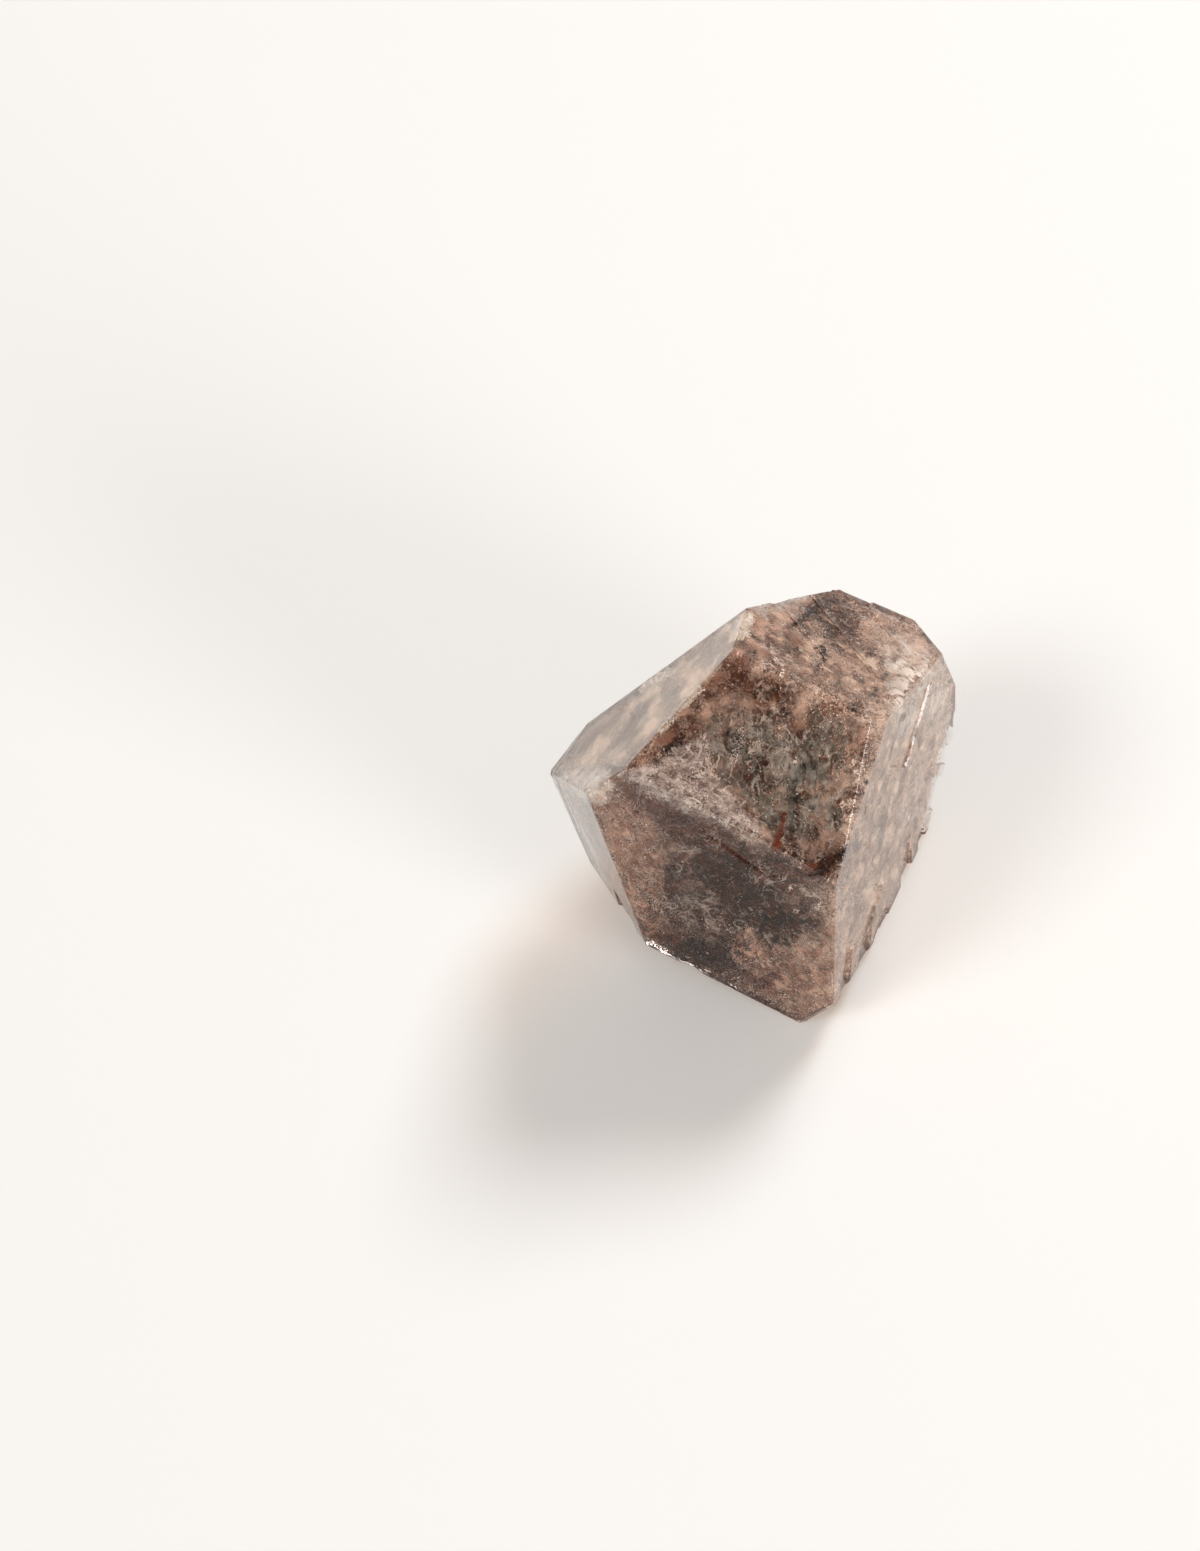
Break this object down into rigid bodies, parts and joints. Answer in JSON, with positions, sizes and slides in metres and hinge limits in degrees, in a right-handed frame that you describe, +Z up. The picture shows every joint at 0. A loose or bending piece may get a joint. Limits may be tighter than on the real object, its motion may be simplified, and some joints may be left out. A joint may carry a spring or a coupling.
{
  "type": "herkimer diamond",
  "caption": "Stubby doubly terminated quartz crystal, clear at its rims and smoky with clay and dark inclusions within, lying on one of its flat lower faces.",
  "frame": {"origin": "on the surface that the crystal lies on, under the middle of its bounding box", "axes": "+Z up, with the crystal lying on a flat lower face; its sharper point leans towards -X and up, and its large central face looks up and towards -Y"},
  "size_m": [0.0116, 0.0102, 0.0113],
  "materials": {
    "clear_quartz": "glassy natural crystal faces, frosted by fine growth steps on one side, clear smoky quartz beneath with brown and dark inclusions"
  },
  "bodies": {
    "root": {"crystal": "clear_quartz"}
  },
  "joints": []
}
